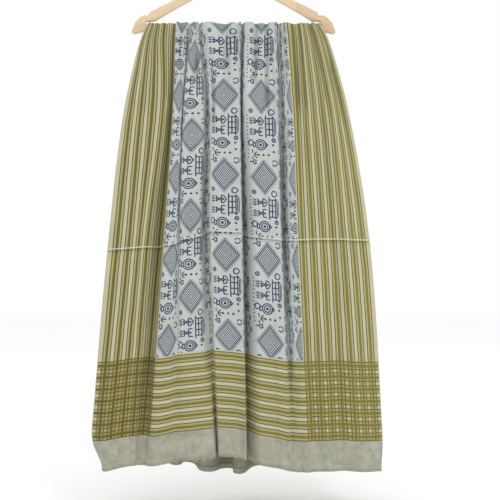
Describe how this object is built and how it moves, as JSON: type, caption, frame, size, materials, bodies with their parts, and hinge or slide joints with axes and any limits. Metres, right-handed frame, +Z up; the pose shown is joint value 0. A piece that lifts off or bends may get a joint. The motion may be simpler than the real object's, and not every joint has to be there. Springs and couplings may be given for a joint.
{
  "type": "sarong on a wooden hanger",
  "caption": "Block printed cotton sarong folded in half over the bar of a wooden hanger, gathered at the bar and hanging in soft folds.",
  "frame": {"origin": "inside top of the hook, where a rail touches it", "axes": "+Z up, +X to the right of someone who faces the front fall, -Y out of the front"},
  "size_m": [0.5891, 0.1765, 1.1654],
  "materials": {
    "printed_cotton": "matt plain weave cotton, printed in indigo and olive",
    "cotton_hem": "matt plain weave cotton, turned and stitched",
    "hanger_wood": "pale wood under a thin satin varnish",
    "hook_steel": "bright plated steel wire"
  },
  "bodies": {
    "root": {"sarong_front": "printed_cotton", "sarong_back": "printed_cotton", "hem_front": "cotton_hem", "hem_back": "cotton_hem", "hanger_shoulder": "hanger_wood", "hanger_bar": "hanger_wood", "hanger_hook": "hook_steel"}
  },
  "joints": []
}
